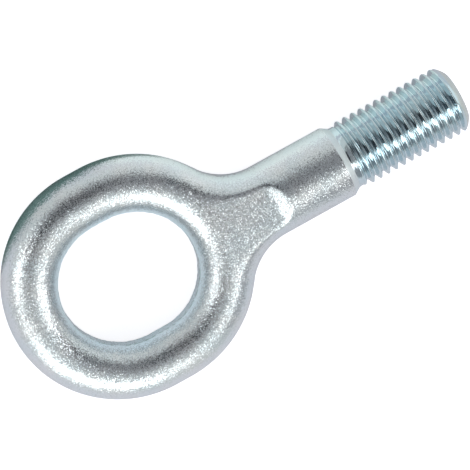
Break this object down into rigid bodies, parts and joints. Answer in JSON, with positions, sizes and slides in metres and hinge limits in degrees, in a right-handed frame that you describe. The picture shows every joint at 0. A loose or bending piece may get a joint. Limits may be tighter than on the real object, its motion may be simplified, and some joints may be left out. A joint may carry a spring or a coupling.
{
  "type": "towing eye",
  "caption": "Forged screw-in towing eye: rounded ring, neck with a flat pad on each face, round shank and a right-hand metric thread.",
  "frame": {"origin": "centre of the eye", "axes": "+X along the shank towards the thread's tip, +Z through the eye, square to the ring"},
  "size_m": [0.1399, 0.0666, 0.0212],
  "materials": {
    "zinc_plated_steel": "bright zinc plate, satin on the forged faces and glossier on the rolled thread"
  },
  "bodies": {
    "root": {"tow_eye": "zinc_plated_steel"}
  },
  "joints": []
}
